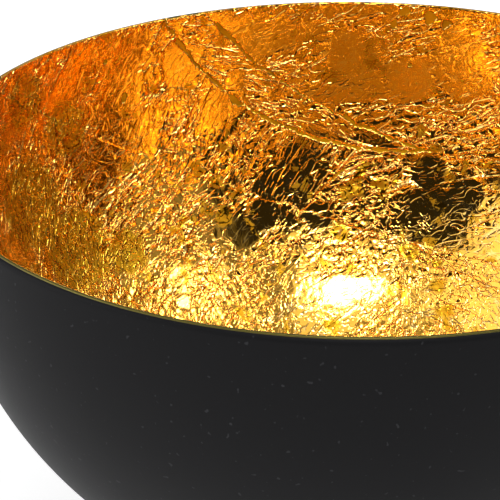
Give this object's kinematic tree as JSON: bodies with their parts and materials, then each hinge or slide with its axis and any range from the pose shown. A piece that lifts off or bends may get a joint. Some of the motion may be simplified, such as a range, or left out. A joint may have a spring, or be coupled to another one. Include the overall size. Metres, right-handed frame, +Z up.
{
  "type": "decorative metal bowl",
  "caption": "Deep, nearly hemispherical spun metal bowl, matt black outside and lined with crinkled gold leaf inside, standing on felt pads under a small flat foot.",
  "frame": {"origin": "on the surface that the bowl stands on, under the middle of the foot", "axes": "+Z up along the bowl's axis, the open side up; +Y and +X are level, and the narrow strip of leaf starts at the rim between +Y and -X"},
  "size_m": [0.2504, 0.2504, 0.1289],
  "materials": {
    "steel": "spun, bare only inside the layers",
    "black_coat": "smooth matt black powder coat",
    "ochre_size": "ochre gilding size under clear lacquer",
    "gold_leaf": "crinkled imitation gold leaf, lacquered",
    "felt": "pressed black felt"
  },
  "bodies": {
    "root": {"steel_shell": "steel", "black_outer_coat": "black_coat", "ochre_size_coat": "ochre_size", "leaf_bottom": "gold_leaf", "leaf_upper_1": "gold_leaf", "leaf_upper_2": "gold_leaf", "leaf_upper_3": "gold_leaf", "leaf_upper_4": "gold_leaf", "leaf_upper_5": "gold_leaf", "leaf_upper_6": "gold_leaf", "leaf_lower_1": "gold_leaf", "leaf_lower_2": "gold_leaf", "leaf_lower_3": "gold_leaf", "leaf_lower_4": "gold_leaf", "leaf_lower_5": "gold_leaf", "leaf_lower_6": "gold_leaf", "felt_pad_1": "felt", "felt_pad_2": "felt", "felt_pad_3": "felt"}
  },
  "joints": []
}
